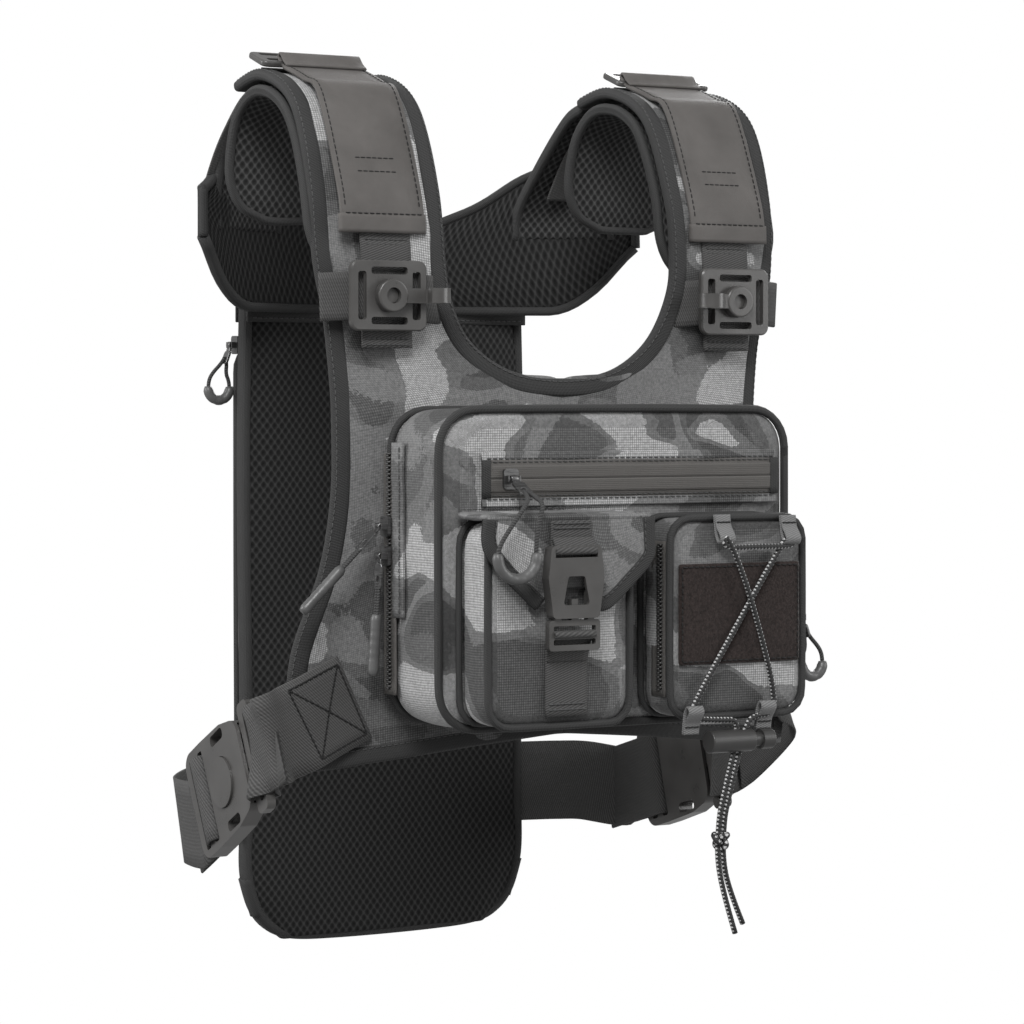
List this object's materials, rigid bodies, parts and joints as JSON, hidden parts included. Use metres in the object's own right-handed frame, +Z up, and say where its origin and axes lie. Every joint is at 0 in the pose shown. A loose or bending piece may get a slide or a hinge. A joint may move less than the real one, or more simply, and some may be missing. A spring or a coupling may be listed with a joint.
{
  "type": "safety harness vest",
  "caption": "Padded safety harness vest in grey camouflage cloth with zipped front pouches, laced bungee cord, shoulder hose clips and side-release buckles at the waist",
  "frame": {"origin": "middle of the shoulder line, where the pads rest on the wearer", "axes": "+Z up the wearer, front of the vest towards -Y, +X to the wearer's left"},
  "size_m": [0.3576, 0.3479, 0.5233],
  "materials": {
    "air_mesh": "woven",
    "dark_webbing": "woven",
    "camouflage_cloth": "woven",
    "strap_cloth": "woven",
    "light_webbing": "woven",
    "loop_fleece": "brushed",
    "zip_tape": "woven",
    "buckle_plastic": "moulded",
    "gunmetal": "satin",
    "puller_rubber": "moulded",
    "spring_steel": "drawn",
    "bungee_cord": "braided"
  },
  "bodies": {
    "harness": {"back_panel": "air_mesh", "back_pocket": "camouflage_cloth", "back_straps": "dark_webbing", "back_yoke": "air_mesh", "bib_panel": "camouflage_cloth", "bungee_lace": "bungee_cord", "bungee_tail_left": "bungee_cord", "bungee_tail_right": "bungee_cord", "chest_webbings": "dark_webbing", "clip_frames": "buckle_plastic", "cross_webbings": "dark_webbing", "flap_top": "camouflage_cloth", "fleece_patch": "loop_fleece", "front_strap_left": "camouflage_cloth", "front_strap_right": "camouflage_cloth", "front_zip_tape": "zip_tape", "lace_tabs": "light_webbing", "left_pocket": "camouflage_cloth", "main_pouch": "camouflage_cloth", "main_zip_tape": "zip_tape", "pocket_tail": "dark_webbing", "right_pocket": "camouflage_cloth", "seam_band": "dark_webbing", "shoulder_pad_left": "air_mesh", "shoulder_pad_right": "air_mesh", "shoulder_rings": "buckle_plastic", "tail_knot": "bungee_cord", "waist_patches": "dark_webbing", "waist_plug_left": "buckle_plastic", "waist_plug_right": "buckle_plastic", "wide_strap_left": "strap_cloth", "wide_strap_right": "strap_cloth", "yoke_strap_left": "air_mesh", "yoke_strap_right": "air_mesh"},
    "waist_buckle_left": {"waist_housing_left": "buckle_plastic", "waist_disc_left": "buckle_plastic", "waist_loop_left": "dark_webbing"},
    "waist_buckle_right": {"waist_housing_right": "buckle_plastic", "waist_disc_right": "buckle_plastic", "waist_loop_right": "dark_webbing"},
    "flap": {"pocket_flap": "camouflage_cloth", "flap_webbing": "dark_webbing", "pocket_socket": "buckle_plastic"},
    "plug": {"pocket_plug": "buckle_plastic"},
    "front_slider": {"front_zip_slider": "gunmetal"},
    "front_pull": {"front_zip_puller": "puller_rubber"},
    "upper_slider": {"upper_zip_slider": "gunmetal"},
    "upper_pull": {"upper_zip_puller": "puller_rubber"},
    "lower_slider": {"lower_zip_slider": "gunmetal"},
    "lower_pull": {"lower_zip_puller": "puller_rubber"},
    "side_slider": {"side_zip_slider": "gunmetal"},
    "side_pull": {"side_zip_puller": "puller_rubber"},
    "rear_slider": {"rear_zip_slider": "gunmetal"},
    "rear_pull": {"rear_zip_puller": "puller_rubber"},
    "lock": {"cord_lock": "buckle_plastic", "lock_spring": "spring_steel"},
    "plunger": {"lock_plunger": "buckle_plastic"},
    "clip_left": {"hose_clip_left": "buckle_plastic"},
    "clip_right": {"hose_clip_right": "buckle_plastic"}
  },
  "joints": [
    {"name": "waist_release_left", "type": "slide", "parent": "harness", "child": "waist_buckle_left", "axis": [0, 0.8829, -0.4695], "range_m": [0, 0.03]},
    {"name": "waist_release_right", "type": "slide", "parent": "harness", "child": "waist_buckle_right", "axis": [0, 0.9613, -0.2756], "range_m": [0, 0.03]},
    {"name": "flap_lift", "type": "hinge", "parent": "harness", "child": "flap", "pos_m": [-0.054, -0.208, -0.2435], "axis": [-1, 0, 0], "range_deg": [0, 100]},
    {"name": "pocket_buckle_release", "type": "slide", "parent": "harness", "child": "plug", "axis": [0, 0, -1], "range_m": [0, 0.02]},
    {"name": "front_zip", "type": "slide", "parent": "harness", "child": "front_slider", "axis": [1, 0, 0], "range_m": [0, 0.155]},
    {"name": "front_pull_swing", "type": "hinge", "parent": "front_slider", "child": "front_pull", "pos_m": [-0.07, -0.1772, -0.225], "axis": [-1, 0, 0], "range_deg": [0, 100]},
    {"name": "upper_main_zip", "type": "slide", "parent": "harness", "child": "upper_slider", "axis": [0, 0, 1], "range_m": [0, 0.035]},
    {"name": "upper_pull_swing", "type": "hinge", "parent": "upper_slider", "child": "upper_pull", "pos_m": [-0.119, -0.118, -0.251], "axis": [0, 1, 0], "range_deg": [0, 60]},
    {"name": "lower_main_zip", "type": "slide", "parent": "harness", "child": "lower_slider", "axis": [0, 0, -1], "range_m": [0, 0.06]},
    {"name": "lower_pull_swing", "type": "hinge", "parent": "lower_slider", "child": "lower_pull", "pos_m": [-0.119, -0.118, -0.267], "axis": [0, 1, 0], "range_deg": [0, 60]},
    {"name": "side_zip", "type": "slide", "parent": "harness", "child": "side_slider", "axis": [0, 0, 1], "range_m": [0, 0.035]},
    {"name": "side_pull_swing", "type": "hinge", "parent": "side_slider", "child": "side_pull", "pos_m": [0.1048, -0.192, -0.303], "axis": [0, -1, 0], "range_deg": [0, 90]},
    {"name": "rear_zip", "type": "slide", "parent": "harness", "child": "rear_slider", "axis": [0, 0, -1], "range_m": [0, 0.2]},
    {"name": "rear_pull_swing", "type": "hinge", "parent": "rear_slider", "child": "rear_pull", "pos_m": [-0.0968, 0.1183, -0.15], "axis": [0, 1, 0], "range_deg": [0, 90]},
    {"name": "cord_lock_slide", "type": "slide", "parent": "harness", "child": "lock", "axis": [-0.27, 0, -0.9629], "range_m": [0, 0.024]},
    {"name": "lock_button", "type": "slide", "parent": "lock", "child": "plunger", "axis": [-1, 0, 0], "range_m": [0, 0.0045], "stiffness_N_per_m": 300, "springref_m": -0.002, "deforming": ["lock_spring"]},
    {"name": "hose_clip_swivel_left", "type": "hinge", "parent": "harness", "child": "clip_left", "pos_m": [-0.112, -0.118, -0.127], "axis": [0, -1, 0], "continuous": true},
    {"name": "hose_clip_swivel_right", "type": "hinge", "parent": "harness", "child": "clip_right", "pos_m": [0.112, -0.118, -0.127], "axis": [0, -1, 0], "continuous": true}
  ],
  "couplings": [
    {"joint": "front_pull_swing", "follows": "flap_lift", "ratio": 1},
    {"joint": "upper_pull_swing", "follows": "lower_pull_swing", "ratio": 1}
  ]
}
